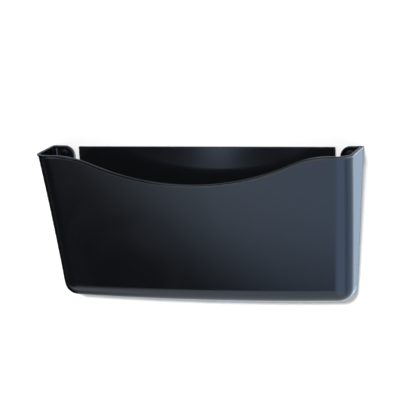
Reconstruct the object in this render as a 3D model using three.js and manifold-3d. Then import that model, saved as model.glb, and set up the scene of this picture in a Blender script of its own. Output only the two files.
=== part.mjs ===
// A hanging document pocket: one moulded tray, hung by two keyholed ears on two wall screws.
// Millimetres, +Z up. The front faces -Y and the wall's surface is the plane Y = 0.
// The origin is on the tray's back face, at mid width, level with the two screws.

import * as THREE from "three";
import { mergeVertices } from "three/addons/utils/BufferGeometryUtils.js";
import Module from "manifold-3d";

// Tray
const pocketWidth = 368; // over the side walls, at the rim
const pocketDepth = 63.5; // back face to front face, at the rim
const pocketHeight = 171.4; // ears' tops to the underside of the floor, at the sides
const wallThickness = 2.5;
const sideTaper = 13; // how far each side wall draws in from rim to floor
const frontTaper = 28.5; // how far the front draws back from rim to floor
const frontHollow = 2.3; // how far the front face lies behind a straight line, half way down
const floorCrown = 3.6; // how far the floor hangs lower at mid width than at the sides
const cornerRadius = 17; // upright front corners, in plan
const floorCornerRadius = 1.5; // what is left of that radius where the floor is flat
const rearCornerRadius = 5; // inside, between a side wall and the back

// Front rim
const rimFall = 1.1; // front corners of the rim below the ears' tops, the side rims sloping to them
const scoopDepth = 33.6; // lowest point of the scooped rim below its corners
const scoopShoulder = 22.6; // level stretch of rim between the scoop and the outside of a side wall
const shoulderRadiusShare = 0.27; // the outer bend's part of the scoop's two radii together
const rimBeadHeight = 2.5;
const rimBeadOut = 0.9; // how far the bead stands proud of the wall outside
const rimBeadIn = 0.3; // and inside
const rimBeadRounding = 1.1;
const rimBeadChamfer = 0.5; // along the bead's lower edges

// Back and ears
const earWidth = 25.5; // outside of the side wall to the ear's inner edge, at the rim
const slotWidth = 5.9; // open slot between an ear and the back panel
const slotLength = 46; // from the rim's level down to the slot's round end
const panelDrop = 1.1; // the back panel's top edge below the rim's level
const earCornerRadius = 11.5;
const earSetback = 0.5; // the ear's back face lies this far off the wall
const earBeadWidth = 2.8;
const earBeadOut = 2; // how far the ear's thick edge stands proud of the back's inside face
const earBeadRounding = 1.1;

// Keyholes and screws
const screwDrop = 8.5; // screw centres below the rim's level
const liftTravel = 10.5; // from a screw's resting place down to the keyhole's entry
const entryClearance = 0.6; // around the screw head in the keyhole's entry
const seatGap = 0.3; // between pieces that bear on each other
const threadDiameter = 3.5;
const coreDiameter = 2.6;
const threadPitch = 1.3;
const threadRootShare = 1 / 6; // of the pitch, at the core on each side of a ridge
const threadFree = 2.6; // plain shank between the wall's surface and the first thread
const screwReach = 19; // wall's surface to the screw's point
const pointLength = 3;
const pointDiameter = 0.6;
const headDiameter = 9;
const headFlange = 0.6; // straight edge under the dome
const headDome = 1.8;
const recessWidth = 4.2;
const recessBlade = 1.0;
const recessDepth = 1.7;
const recessFloorWidth = 2.2;

// Wall plugs
const plugLength = 16;
const plugCollarDiameter = 7.6;
const plugCollarThickness = 1;
const plugMouthDiameter = 5.8;
const plugEndDiameter = 5;
const plugBarbCount = 4;
const plugBarbDepth = 0.25;
const plugBarbStepShare = 1 / 8; // of the barbs' pitch, where a barb steps in
const plugFinReach = 0.8; // how far each fin stands off the plug's body
const plugFinThickness = 0.7;
const plugFinLength = 5;
const plugSplitWidth = 0.9;
const plugSplitLength = 9;

// Drawing steps
const overrun = 4; // how far cutters pass the material
const weldDistance = 1e-4; // points closer than this are one point
const cornerSteps = 8;
const filletSteps = 6;
const wallSteps = 6;
const frontSteps = 14;
const scoopSteps = 40;
const roundSteps = 24;
const domeSteps = 5;
const beadSteps = 3;

// Worked out
const halfWidth = pocketWidth / 2;
const rimLevel = screwDrop;
const levelRim = wallThickness + earBeadOut; // stretch of side rim that is level with the ear
const bottomRadius = cornerRadius - floorCornerRadius;
const earEdge = halfWidth - earWidth;
const panelHalfWidth = earEdge - slotWidth;
const slotFloor = rimLevel - slotLength;
const screwSide = (earEdge + halfWidth - wallThickness) / 2;
const scoopHalfWidth = halfWidth - scoopShoulder;
const scoopAngle = 2 * Math.atan(scoopDepth / scoopHalfWidth);
const scoopRadii = scoopHalfWidth / Math.sin(scoopAngle);
const shoulderRadius = shoulderRadiusShare * scoopRadii;
const scoopRadius = scoopRadii - shoulderRadius;
const shankRadius = threadDiameter / 2;
const keySlotRadius = shankRadius + seatGap;
const keyEntryRadius = headDiameter / 2 + entryClearance;
const headUnderside = -wallThickness - seatGap;
const plugBoreRadius = shankRadius + seatGap;

const wasm = await Module();
wasm.setup();

// Turns a closed geometry into a solid that can be joined and cut.
function solid(geometry) {
  const bare = geometry.clone();
  bare.deleteAttribute("normal");
  bare.deleteAttribute("uv");
  const merged = mergeVertices(bare, weldDistance);
  return new wasm.Manifold(
    new wasm.Mesh({
      numProp: 3,
      vertProperties: new Float32Array(merged.attributes.position.array),
      triVerts: new Uint32Array(merged.index.array),
    }),
  );
}

// Turns a solid back into a geometry for a mesh.
function geometryOf(body) {
  const mesh = body.getMesh();
  const geometry = new THREE.BufferGeometry();
  geometry.setAttribute("position", new THREE.BufferAttribute(mesh.vertProperties, mesh.numProp));
  geometry.setIndex(new THREE.BufferAttribute(mesh.triVerts, 1));
  geometry.computeVertexNormals();
  return geometry;
}

// A geometry from a list of points and a list of triangles.
function geometryFrom(points, triangles) {
  const geometry = new THREE.BufferGeometry();
  geometry.setAttribute("position", new THREE.Float32BufferAttribute(points.flat(), 3));
  geometry.setIndex(triangles.flat());
  return geometry;
}

// An outline in X and Z, given thickness along Y from one plane to another.
function plate(shape, yFront, yBack, options = {}) {
  const geometry = new THREE.ExtrudeGeometry(shape, {
    depth: yBack - yFront,
    bevelEnabled: false,
    curveSegments: roundSteps / 2,
    ...options,
  });
  geometry.rotateX(Math.PI / 2);
  geometry.translate(0, yBack, 0);
  return geometry;
}

// Half width and depth of the tray's outside at a distance below the rim's level.
function wallsAt(drop) {
  const share = drop / pocketHeight;
  const hollow = 4 * frontHollow * share * (1 - share);
  return {
    half: halfWidth - sideTaper * share,
    depth: pocketDepth - frontTaper * share - hollow,
  };
}

// Height of a point of the tray: the floor's crown grows with the distance below the rim.
function heightAt(x, drop) {
  const reach = x / (halfWidth - sideTaper);
  return rimLevel - drop * (1 + (floorCrown / pocketHeight) * (1 - reach * reach));
}

// How far the front rim dips at a distance from mid width: one wide arc between two shoulders.
function rimDip(x) {
  const reach = Math.abs(x);
  if (reach >= scoopHalfWidth) return 0;
  if (reach > scoopRadius * Math.sin(scoopAngle)) {
    return shoulderRadius - Math.sqrt(shoulderRadius ** 2 - (scoopHalfWidth - reach) ** 2);
  }
  return scoopDepth - scoopRadius + Math.sqrt(scoopRadius ** 2 - reach ** 2);
}

// Levels of a tray solid from top to floor, each with how far its outline is drawn in.
function levels(topDrop, inset) {
  const radius = bottomRadius - inset;
  const floorDrop = pocketHeight - inset;
  const list = [];
  for (let i = 0; i <= wallSteps; i += 1) {
    const drop = topDrop + ((floorDrop - radius - topDrop) * i) / wallSteps;
    list.push({ drop, inset });
  }
  for (let i = 1; i <= filletSteps; i += 1) {
    const angle = ((Math.PI / 2) * i) / filletSteps;
    list.push({
      drop: floorDrop - radius * (1 - Math.sin(angle)),
      inset: inset + radius * (1 - Math.cos(angle)),
    });
  }
  return list;
}

// One closed outline: along the front from left to right, then along the back to the left.
function outline({ drop, inset }, backFace, backRadius) {
  const { half, depth } = wallsAt(drop);
  const side = half - inset;
  const radius = cornerRadius - inset;
  const front = [];
  for (let i = 0; i <= cornerSteps; i += 1) {
    const angle = ((Math.PI / 2) * i) / cornerSteps;
    front.push([
      -side + radius * (1 - Math.cos(angle)),
      -depth + inset + radius * (1 - Math.sin(angle)),
    ]);
  }
  for (let i = 1; i < frontSteps; i += 1) {
    front.push([(side - radius) * ((2 * i) / frontSteps - 1), -depth + inset]);
  }
  for (let i = cornerSteps; i >= 0; i -= 1) front.push([-front[i][0], front[i][1]]);
  const back = front.map(([x]) => {
    const past = Math.max(0, Math.abs(x) - (side - backRadius));
    const rounding = backRadius - Math.sqrt(Math.max(0, backRadius ** 2 - past ** 2));
    return [x, backFace - rounding];
  });
  return [...front, ...back.reverse()].map(([x, y]) => [x, y, heightAt(x, drop)]);
}

// A solid through a stack of outlines, closed by a strip across the top and one across the floor.
function trayBody(topDrop, inset, backFace, backRadius) {
  const rings = levels(topDrop, inset).map((level) => outline(level, backFace, backRadius));
  const count = rings[0].length;
  const triangles = [];
  for (let k = 0; k < rings.length - 1; k += 1) {
    for (let i = 0; i < count; i += 1) {
      const next = (i + 1) % count;
      const [a, b] = [k * count + i, k * count + next];
      triangles.push([a, a + count, b + count], [a, b + count, b]);
    }
  }
  const last = (rings.length - 1) * count;
  for (let i = 0; i < count / 2 - 1; i += 1) {
    const far = count - 1 - i;
    triangles.push([i, i + 1, far - 1], [i, far - 1, far]);
    triangles.push([last + i, last + far - 1, last + i + 1], [last + i, last + far, last + far - 1]);
  }
  return solid(geometryFrom(rings.flat(), triangles));
}

// Places along the front rim, from the left corner to the right one.
function frontPlaces() {
  const reach = halfWidth - cornerRadius;
  return Array.from({ length: scoopSteps + 1 }, (_, i) => reach * ((2 * i) / scoopSteps - 1));
}

// What stands above the front rim's seat for the bead, in front of the back wall.
function rimCutter() {
  const seat = rimLevel - rimFall - rimBeadRounding / 2;
  const outer = halfWidth + overrun;
  const shape = new THREE.Shape();
  shape.moveTo(-outer, seat);
  for (const x of frontPlaces()) shape.lineTo(x, seat - rimDip(x));
  shape.lineTo(outer, seat);
  shape.lineTo(outer, rimLevel + overrun);
  shape.lineTo(-outer, rimLevel + overrun);
  return solid(plate(shape, -pocketDepth - overrun, -levelRim));
}

// The rim's path with the wall's outward direction, up one side, along the front, down the other.
function rimPath() {
  const path = [];
  const { depth } = wallsAt(0);
  const place = (x, y, drop, outX, outY) => {
    path.push({
      at: new THREE.Vector3(x, y, rimLevel - drop),
      out: new THREE.Vector3(outX, outY, 0),
    });
  };
  place(-halfWidth, 0, 0, -1, 0);
  place(-halfWidth, -levelRim, 0, -1, 0);
  for (let i = 0; i <= cornerSteps; i += 1) {
    const angle = ((Math.PI / 2) * i) / cornerSteps;
    const [outX, outY] = [-Math.cos(angle), -Math.sin(angle)];
    const y = -depth + cornerRadius * (1 + outY);
    const fall = (rimFall * (-y - levelRim)) / (depth - levelRim);
    place(-halfWidth + cornerRadius * (1 + outX), y, fall, outX, outY);
  }
  const left = path.slice().reverse();
  for (const x of frontPlaces().slice(1, -1)) {
    const drop = rimFall + rimDip(x);
    place(x, -wallsAt(drop).depth, drop, 0, -1);
  }
  for (const { at, out } of left) place(-at.x, at.y, rimLevel - at.z, -out.x, out.y);
  return path;
}

// The bead along the rim of the front and the sides: upright faces and a rounded top.
function rimBead() {
  const [low, high] = [-wallThickness - rimBeadIn, rimBeadOut];
  const section = [[high - rimBeadChamfer, -rimBeadHeight], [high, rimBeadChamfer - rimBeadHeight]];
  for (const [centre, from] of [[high - rimBeadRounding, 0], [low + rimBeadRounding, 1]]) {
    for (let i = 0; i <= beadSteps; i += 1) {
      const angle = (Math.PI / 2) * (from + i / beadSteps);
      section.push([
        centre + rimBeadRounding * Math.cos(angle),
        rimBeadRounding * (Math.sin(angle) - 1),
      ]);
    }
  }
  section.push([low, rimBeadChamfer - rimBeadHeight], [low + rimBeadChamfer, -rimBeadHeight]);
  const path = rimPath();
  const points = [];
  const triangles = [];
  const count = section.length;
  path.forEach(({ at, out }, k) => {
    const before = path[Math.max(k - 1, 0)].at;
    const after = path[Math.min(k + 1, path.length - 1)].at;
    const along = after.clone().sub(before).normalize();
    const up = along.clone().cross(out).negate().normalize();
    for (const [a, b] of section) {
      points.push(at.clone().addScaledVector(out, a).addScaledVector(up, b).toArray());
    }
    if (k === path.length - 1) return;
    for (let i = 0; i < count; i += 1) {
      const [p, q] = [k * count + i, k * count + ((i + 1) % count)];
      triangles.push([p, p + count, q + count], [p, q + count, q]);
    }
  });
  const last = (path.length - 1) * count;
  for (let i = 1; i < count - 1; i += 1) {
    triangles.push([0, i, i + 1], [last, last + i + 1, last + i]);
  }
  return solid(geometryFrom(points, triangles));
}

// What is cut from the back beside an ear: the slot, and the corner outside the ear's rounding.
function slotCutter(side) {
  const top = rimLevel + overrun;
  const end = slotWidth / 2;
  const shape = new THREE.Shape();
  shape.moveTo(side * (earEdge + earCornerRadius), top);
  shape.lineTo(side * panelHalfWidth, top);
  shape.absarc(side * (panelHalfWidth + end), slotFloor + end, end, side > 0 ? Math.PI : 0,
    side > 0 ? 2 * Math.PI : -Math.PI, side < 0);
  shape.absarc(side * (earEdge + earCornerRadius), rimLevel - earCornerRadius, earCornerRadius,
    side > 0 ? Math.PI : 0, Math.PI / 2, side > 0);
  return solid(plate(shape, -wallThickness - overrun, overrun));
}

// The keyhole of an ear: a slot for the shank over a round entry for the head.
function keyholeCutter(side) {
  const waist = Math.asin(keySlotRadius / keyEntryRadius);
  const x = side * screwSide;
  const shape = new THREE.Shape();
  shape.absarc(x, 0, keySlotRadius, 0, Math.PI, false);
  shape.absarc(x, -liftTravel, keyEntryRadius, Math.PI / 2 + waist, Math.PI * 2.5 - waist, false);
  return solid(plate(shape, -wallThickness - overrun, overrun));
}

// The thick edge of an ear: along its top, round its corner and down beside the slot.
function earBead(side) {
  const inner = earCornerRadius - earBeadWidth;
  const centre = side * (earEdge + earCornerRadius);
  const level = rimLevel - earCornerRadius;
  const start = side * (halfWidth - wallThickness / 2);
  const shape = new THREE.Shape();
  shape.moveTo(start, rimLevel - earBeadWidth);
  shape.lineTo(start, rimLevel);
  shape.absarc(centre, level, earCornerRadius, Math.PI / 2, side > 0 ? Math.PI : 0, side < 0);
  shape.lineTo(side * earEdge, slotFloor);
  shape.lineTo(side * (earEdge + earBeadWidth), slotFloor);
  shape.absarc(centre, level, inner, side > 0 ? Math.PI : 0, Math.PI / 2, side > 0);
  const bevel = {
    bevelEnabled: true,
    bevelThickness: earBeadRounding,
    bevelSize: earBeadRounding,
    bevelOffset: -earBeadRounding,
    bevelSegments: 2,
  };
  const front = -wallThickness - earBeadOut + earBeadRounding;
  return solid(plate(shape, front, -earSetback - earBeadRounding, bevel));
}

// The shallow recess that holds an ear's back face off the wall.
function setbackCutter(side) {
  const outer = wallsAt(slotLength).half - wallThickness;
  const inner = earEdge - slotWidth / 2;
  const width = outer - inner;
  const height = slotLength + overrun;
  const geometry = new THREE.BoxGeometry(width, overrun, height);
  geometry.translate(side * (inner + width / 2), overrun / 2 - earSetback, slotFloor + height / 2);
  return solid(geometry);
}

// What is cut from the back panel to bring its top edge below the rim's level.
function panelCutter() {
  const geometry = new THREE.BoxGeometry(2 * panelHalfWidth, wallThickness + 2 * overrun, overrun);
  geometry.translate(0, -wallThickness / 2, rimLevel - panelDrop + overrun / 2);
  return solid(geometry);
}

// The moulded tray.
function pocketShell() {
  let body = trayBody(0, 0, 0, 0);
  body = body.subtract(trayBody(-overrun, wallThickness, -wallThickness, rearCornerRadius));
  body = body.subtract(rimCutter()).subtract(panelCutter());
  for (const side of [-1, 1]) {
    body = body.subtract(slotCutter(side)).subtract(setbackCutter(side)).add(earBead(side));
  }
  for (const side of [-1, 1]) body = body.subtract(keyholeCutter(side));
  return geometryOf(body.add(rimBead()));
}

// A turned piece about the Y axis, from points of radius and distance along Y.
function turned(points) {
  return new THREE.LatheGeometry(points.map(([r, y]) => new THREE.Vector2(r, y)), roundSteps);
}

// A wall screw with a low domed head, a cross recess and a ridged thread.
function wallScrew() {
  const headRadius = headDiameter / 2;
  const flangeFace = headUnderside - headFlange;
  const profile = [];
  for (let i = 0; i <= domeSteps; i += 1) {
    const angle = ((Math.PI / 2) * i) / domeSteps;
    profile.push([headRadius * Math.sin(angle), flangeFace - headDome * Math.cos(angle)]);
  }
  profile.push([headRadius, headUnderside], [coreDiameter / 2, headUnderside]);
  const threadEnd = screwReach - pointLength;
  const turns = Math.floor((threadEnd - threadFree) / threadPitch);
  for (let i = 0; i < turns; i += 1) {
    const start = threadFree + i * threadPitch;
    profile.push([coreDiameter / 2, start + threadPitch * threadRootShare]);
    profile.push([shankRadius, start + threadPitch / 2]);
    profile.push([coreDiameter / 2, start + threadPitch * (1 - threadRootShare)]);
  }
  profile.push([coreDiameter / 2, threadEnd], [pointDiameter / 2, screwReach], [0, screwReach]);
  let body = solid(turned(profile));
  const face = flangeFace - headDome;
  for (const turn of [0, Math.PI / 2]) {
    const blade = new THREE.Shape();
    blade.moveTo(-recessWidth / 2, face - overrun);
    blade.lineTo(recessWidth / 2, face - overrun);
    blade.lineTo(recessWidth / 2, face);
    blade.lineTo(recessFloorWidth / 2, face + recessDepth);
    blade.lineTo(-recessFloorWidth / 2, face + recessDepth);
    blade.lineTo(-recessWidth / 2, face);
    const geometry = new THREE.ExtrudeGeometry(blade, { depth: recessBlade, bevelEnabled: false });
    geometry.translate(0, 0, -recessBlade / 2);
    geometry.rotateY(turn);
    body = body.subtract(solid(geometry));
  }
  return geometryOf(body);
}

// A tapered wall plug with a collar, barbs, two fins and a split end.
function wallPlug() {
  const mouth = seatGap + plugCollarThickness;
  const end = seatGap + plugLength;
  const barbPitch = (end - mouth - plugFinLength) / plugBarbCount;
  const radiusAt = (y) => {
    const share = (y - mouth) / (end - mouth);
    return (plugMouthDiameter * (1 - share) + plugEndDiameter * share) / 2;
  };
  const profile = [
    [plugBoreRadius, seatGap],
    [plugCollarDiameter / 2, seatGap],
    [plugCollarDiameter / 2, mouth],
    [radiusAt(mouth), mouth],
  ];
  for (let i = 0; i < plugBarbCount; i += 1) {
    const start = mouth + plugFinLength + i * barbPitch;
    profile.push([radiusAt(start), start]);
    profile.push([radiusAt(start) - plugBarbDepth, start + barbPitch * plugBarbStepShare]);
  }
  profile.push([radiusAt(end), end], [plugBoreRadius, end], [plugBoreRadius, seatGap]);
  let body = solid(turned(profile));
  const finInner = plugBoreRadius + plugBarbDepth;
  const finWidth = plugMouthDiameter / 2 + plugFinReach - finInner;
  for (const side of [-1, 1]) {
    const fin = new THREE.BoxGeometry(finWidth, plugFinLength, plugFinThickness);
    fin.translate(side * (finInner + finWidth / 2), mouth + plugFinLength / 2 - seatGap, 0);
    body = body.add(solid(fin));
  }
  const split = new THREE.BoxGeometry(plugMouthDiameter * 2, plugSplitLength, plugSplitWidth);
  split.translate(0, end + overrun - plugSplitLength / 2, 0);
  body = body.subtract(solid(split));
  return geometryOf(body);
}

// Finishes
const blackMoulding = new THREE.MeshStandardMaterial({
  color: "#191c20",
  roughness: 0.32,
  metalness: 0,
});
const blackenedSteel = new THREE.MeshStandardMaterial({
  color: "#1d1e20",
  roughness: 0.38,
  metalness: 0.9,
});
const greyNylon = new THREE.MeshStandardMaterial({
  color: "#a9aba8",
  roughness: 0.55,
  metalness: 0,
});

// Assembly
function piece(name, geometry, material, x = 0) {
  const mesh = new THREE.Mesh(geometry, material);
  mesh.name = name;
  mesh.position.x = x;
  return mesh;
}

const pocket = new THREE.Group();
pocket.add(piece("pocket_shell", pocketShell(), blackMoulding));

const fixings = new THREE.Group();
for (const [place, side] of [["left", -1], ["right", 1]]) {
  fixings.add(piece(`screw_${place}`, wallScrew(), blackenedSteel, side * screwSide));
  fixings.add(piece(`plug_${place}`, wallPlug(), greyNylon, side * screwSide));
}

const model = new THREE.Group();
model.add(pocket, fixings);

export default model;
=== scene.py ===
# %% [markdown]
# # A hanging document pocket
# One black injection-moulded tray hangs by two keyholed ears on two screws, and each screw sits
# in a nylon plug in the wall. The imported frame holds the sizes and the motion, and this file
# gives every piece its fine surface and its finish.

# %% Load the frame
import math

import bmesh
import bpy
import numpy as np
from mathutils import Matrix, Vector
from mathutils.geometry import tessellate_polygon


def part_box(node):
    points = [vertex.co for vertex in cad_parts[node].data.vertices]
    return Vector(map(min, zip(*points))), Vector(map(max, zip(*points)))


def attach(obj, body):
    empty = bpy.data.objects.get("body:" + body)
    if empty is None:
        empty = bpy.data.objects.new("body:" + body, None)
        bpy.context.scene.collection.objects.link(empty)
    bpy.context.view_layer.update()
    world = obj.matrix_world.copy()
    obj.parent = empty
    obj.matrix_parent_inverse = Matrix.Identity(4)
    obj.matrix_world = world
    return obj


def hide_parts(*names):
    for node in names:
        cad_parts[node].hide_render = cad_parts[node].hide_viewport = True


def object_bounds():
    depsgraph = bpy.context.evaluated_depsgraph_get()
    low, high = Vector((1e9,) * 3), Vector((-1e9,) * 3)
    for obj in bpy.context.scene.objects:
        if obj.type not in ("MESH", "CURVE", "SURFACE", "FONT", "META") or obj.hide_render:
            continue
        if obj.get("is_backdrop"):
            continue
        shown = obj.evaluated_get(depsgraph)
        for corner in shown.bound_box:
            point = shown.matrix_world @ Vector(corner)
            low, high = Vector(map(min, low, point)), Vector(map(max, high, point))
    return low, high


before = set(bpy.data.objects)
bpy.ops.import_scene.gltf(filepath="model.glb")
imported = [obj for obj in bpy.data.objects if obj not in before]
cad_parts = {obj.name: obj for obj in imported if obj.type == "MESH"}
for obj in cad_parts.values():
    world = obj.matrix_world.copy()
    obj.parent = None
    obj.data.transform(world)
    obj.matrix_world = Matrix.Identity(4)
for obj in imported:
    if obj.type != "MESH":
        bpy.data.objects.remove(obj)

cad_box = [list(corner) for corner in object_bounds()]

# %% [markdown]
# ## The sizes
# The frame can only give boxes, so the sizes that shape the moulding are written here again, in
# metres. The printed line compares them with the frame's own box: a fine surface that doesn't
# fit its CAD solid is wrong, however good it looks.

# %% Sizes of the tray
MM = 0.001
pocket_width = 368 * MM
pocket_depth = 63.5 * MM
pocket_height = 171.4 * MM
wall = 2.5 * MM
side_taper = 13 * MM
front_taper = 28.5 * MM
front_hollow = 2.3 * MM
floor_crown = 3.6 * MM
corner_radius = 17 * MM
floor_corner_radius = 1.5 * MM
rear_corner_radius = 5 * MM
rim_fall = 1.1 * MM
scoop_depth = 33.6 * MM
scoop_shoulder = 22.6 * MM
shoulder_radius_share = 0.27
rim_bead_height = 2.5 * MM
rim_bead_out = 0.9 * MM
rim_bead_in = 0.3 * MM
rim_bead_rounding = 0.6 * MM
rim_bead_blend = 1.0 * MM  # half the height over which the bead runs out into the wall

half_width = pocket_width / 2
bottom_radius = corner_radius - floor_corner_radius
foot_ease = 0.6  # how far the bottom's rounding turns gently at its two ends: 0 is an arc

# %% Sizes of the back, the ears and the fixings
screw_drop = 8.5 * MM
rim_level = screw_drop
ear_width = 25.5 * MM
slot_width = 5.9 * MM
slot_length = 46 * MM
panel_drop = 1.1 * MM
ear_corner_radius = 11.5 * MM
ear_setback = 0.5 * MM
ear_bead_width = 2.8 * MM
ear_bead_out = 2 * MM
ear_bead_rounding = 1.1 * MM
edge_rounding = 0.7 * MM  # along the back's free edges
kept_radius = 0.3 * MM  # radius that a sharp corner keeps inside its rounded edge
seam_inset = 0.02 * MM  # keeps two skins that lie on each other from touching
lift_travel = 10.5 * MM
key_slot_radius = 2.05 * MM
key_entry_radius = 5.1 * MM

ear_edge = half_width - ear_width
panel_half_width = ear_edge - slot_width
slot_floor = rim_level - slot_length
screw_side = (ear_edge + half_width - wall) / 2
level_rim = wall + ear_bead_out

shell_low, shell_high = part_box("pocket_shell")
print("CAD width", round((shell_high.x - shell_low.x) / MM, 2),
      "mm, from the sizes", round((pocket_width + 2 * rim_bead_out) / MM, 2), "mm")

# %% [markdown]
# ## From numbers to a mesh
# A surface here is a table of points: rows run one way over it and columns the other. Neighbours
# in the table make the four corners of a face. Several tables can share one mesh, and points that
# fall on the same spot are merged, which closes the seams between them.


# %% Mesh helpers
weld_distance = 0.002 * MM  # points closer than this become one
sliver_share = 0.1  # of the weld distance: a face thinner than this is dropped


def grid_faces(rows, columns, start=0, flip=False):
    """Faces of a table of points: each takes the points (r, c), (r, c+1), (r+1, c+1), (r+1, c)."""
    index = start + np.arange(rows * columns).reshape(rows, columns)
    corners = [index[:-1, :-1], index[:-1, 1:], index[1:, 1:], index[1:, :-1]]
    faces = np.stack(corners, axis=-1).reshape(-1, 4)
    return faces[:, ::-1] if flip else faces


class Surface:
    """Collects points and faces of one piece, then makes it an object at the origin."""

    def __init__(self):
        self.points = []
        self.faces = []
        self.flat = []
        self.count = 0

    def add_points(self, points):
        points = np.asarray(points, float).reshape(-1, 3)
        start = self.count
        self.points.append(points)
        self.count += len(points)
        return start

    def add_grid(self, table, flip=False, wrap=False):
        """Adds a table of points with its faces. A wrapped table ends where its rows began."""
        if wrap:
            table = np.concatenate([table, table[:, :1]], axis=1)
        rows, columns = table.shape[:2]
        start = self.add_points(table)
        faces = grid_faces(rows, columns, start, flip).tolist()
        self.faces += faces
        self.flat += [False] * len(faces)

    def add_cap(self, ring, middle):
        """Closes a wrapped ring of points with a fan to its middle."""
        closed = np.concatenate([ring, ring[:1]])
        self.add_grid(np.stack([closed, np.repeat(np.asarray(middle)[None, :], len(closed), axis=0)]))

    def add_flat(self, loops, flip=False):
        """Fills the outline that comes first, less the outlines after it, with flat triangles."""
        start = self.add_points(np.concatenate(loops))
        flat_loops = [[Vector(point) for point in loop] for loop in loops]
        triangles = [[start + i for i in triangle] for triangle in tessellate_polygon(flat_loops)]
        if flip:
            triangles = [triangle[::-1] for triangle in triangles]
        self.faces += triangles
        self.flat += [True] * len(triangles)

    def make(self, name, sharp=35, merge=weld_distance):
        """Makes the object, with sharp edges where two faces turn by more than an angle in degrees."""
        mesh = bpy.data.meshes.new(name)
        mesh.from_pydata(np.concatenate(self.points).tolist(), [], self.faces)
        mesh.polygons.foreach_set("use_smooth", [not flat for flat in self.flat])
        weld_and_turn(mesh, merge)
        mesh.set_sharp_from_angle(angle=math.radians(sharp))
        piece = bpy.data.objects.new(name, mesh)
        bpy.context.scene.collection.objects.link(piece)
        print(name, "has", len(mesh.vertices), "points and", len(mesh.polygons), "faces")
        return piece


def weld_and_turn(mesh, merge):
    """Merges points closer than a distance and turns every face outwards."""
    work = bmesh.new()
    work.from_mesh(mesh)
    bmesh.ops.remove_doubles(work, verts=work.verts, dist=merge)
    bmesh.ops.dissolve_degenerate(work, edges=work.edges, dist=merge * sliver_share)
    bmesh.ops.recalc_face_normals(work, faces=work.faces)
    open_edges = sum(1 for edge in work.edges if len(edge.link_faces) != 2)
    print("  open edges:", open_edges)
    work.to_mesh(mesh)
    work.free()


def smooth_step(t):
    """Rises from 0 to 1 with level ends: t t (3 - 2 t)."""
    t = np.clip(t, 0, 1)
    return t * t * (3 - 2 * t)


# %% [markdown]
# ## The tray's form
# The mould is a box whose walls draw in towards the floor, so that it lets the part go. The
# front also bows back a little half way down, and the floor hangs lower in the middle. All of it
# follows from one number, the drop below the rim.


# %% Form of the walls
def walls_at(drop):
    """Half width and depth at a drop, with s = drop / height: the width less taper times s, and
    the depth less taper times s and less four hollows times s (1 - s)."""
    s = drop / pocket_height
    half = half_width - side_taper * s
    depth = pocket_depth - front_taper * s - 4 * front_hollow * s * (1 - s)
    return half, depth


def crown_at(x):
    """How much faster the tray grows downwards at mid width: 1 + crown / height (1 - reach^2)."""
    reach = x / (half_width - side_taper)
    return 1 + floor_crown / pocket_height * (1 - reach ** 2)


def height_at(x, drop):
    """The rim's level less the drop times the crown's growth."""
    return rim_level - drop * crown_at(x)


def drop_at(x, z):
    """The drop that stands at a height: the other way round."""
    return (rim_level - z) / crown_at(x)


scoop_half_width = half_width - scoop_shoulder
scoop_angle = 2 * math.atan(scoop_depth / scoop_half_width)
scoop_radii = scoop_half_width / math.sin(scoop_angle)
shoulder_radius = shoulder_radius_share * scoop_radii
scoop_radius = scoop_radii - shoulder_radius


def rim_dip(x):
    """Drop of the front rim: a wide arc at mid width, met by a tighter opposite arc each side."""
    reach = np.abs(x)
    past = np.clip(scoop_half_width - reach, 0, shoulder_radius)
    shoulder = shoulder_radius - np.sqrt(shoulder_radius ** 2 - past ** 2)
    middle = scoop_depth - scoop_radius + np.sqrt(scoop_radius ** 2 - np.minimum(reach, scoop_radius) ** 2)
    return np.where(reach > scoop_radius * math.sin(scoop_angle), shoulder, middle)


print("scoop arcs:", round(scoop_radius / MM), "mm and", round(shoulder_radius / MM), "mm")

# %% [markdown]
# ## One path round three walls
# Seen from above the walls make a U: from the back along one side, round a corner, along the
# front and back again. Each column of the table stands on one place of that U. The inside runs
# beside the outside, and starts with the small hollow corner between the side wall and the ear.

# %% Columns along the U
fillet_columns = 6
side_columns = 22
corner_columns = 16
front_columns = 150

left = fillet_columns + side_columns + 1
along_out = np.concatenate([np.linspace(0, 1, left), np.ones(corner_columns)])
along_in = np.concatenate([
    np.zeros(fillet_columns), np.linspace(0, 1, side_columns + 1), np.ones(corner_columns),
])
fillet_turn = np.concatenate([np.linspace(0, np.pi / 2, fillet_columns + 1),
                              np.full(side_columns + corner_columns, np.pi / 2)])
corner_turn = np.concatenate([np.zeros(left), np.linspace(0, np.pi / 2, corner_columns + 1)[1:]])
front_share = np.linspace(-1, 1, front_columns + 1)
inner_front = front_share[1:-1]


def both_sides(values, front_value):
    """Repeats the left side's values on the right, with one value along the front between them."""
    return np.concatenate([values, np.full(len(inner_front), front_value), values[::-1]])


column = {
    "along_out": both_sides(along_out, 1.0),
    "along_in": both_sides(along_in, 1.0),
    "fillet": both_sides(fillet_turn, np.pi / 2),
    "turn": both_sides(corner_turn, np.pi / 2),
}
edge_ones = np.ones(len(along_out))
column["share"] = np.concatenate([-edge_ones, inner_front, edge_ones])
column["side"] = np.sign(column["share"])
rear_start_out = edge_rounding
rear_start_in = wall + rear_corner_radius
print(len(column["share"]), "columns along the U")


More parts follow.
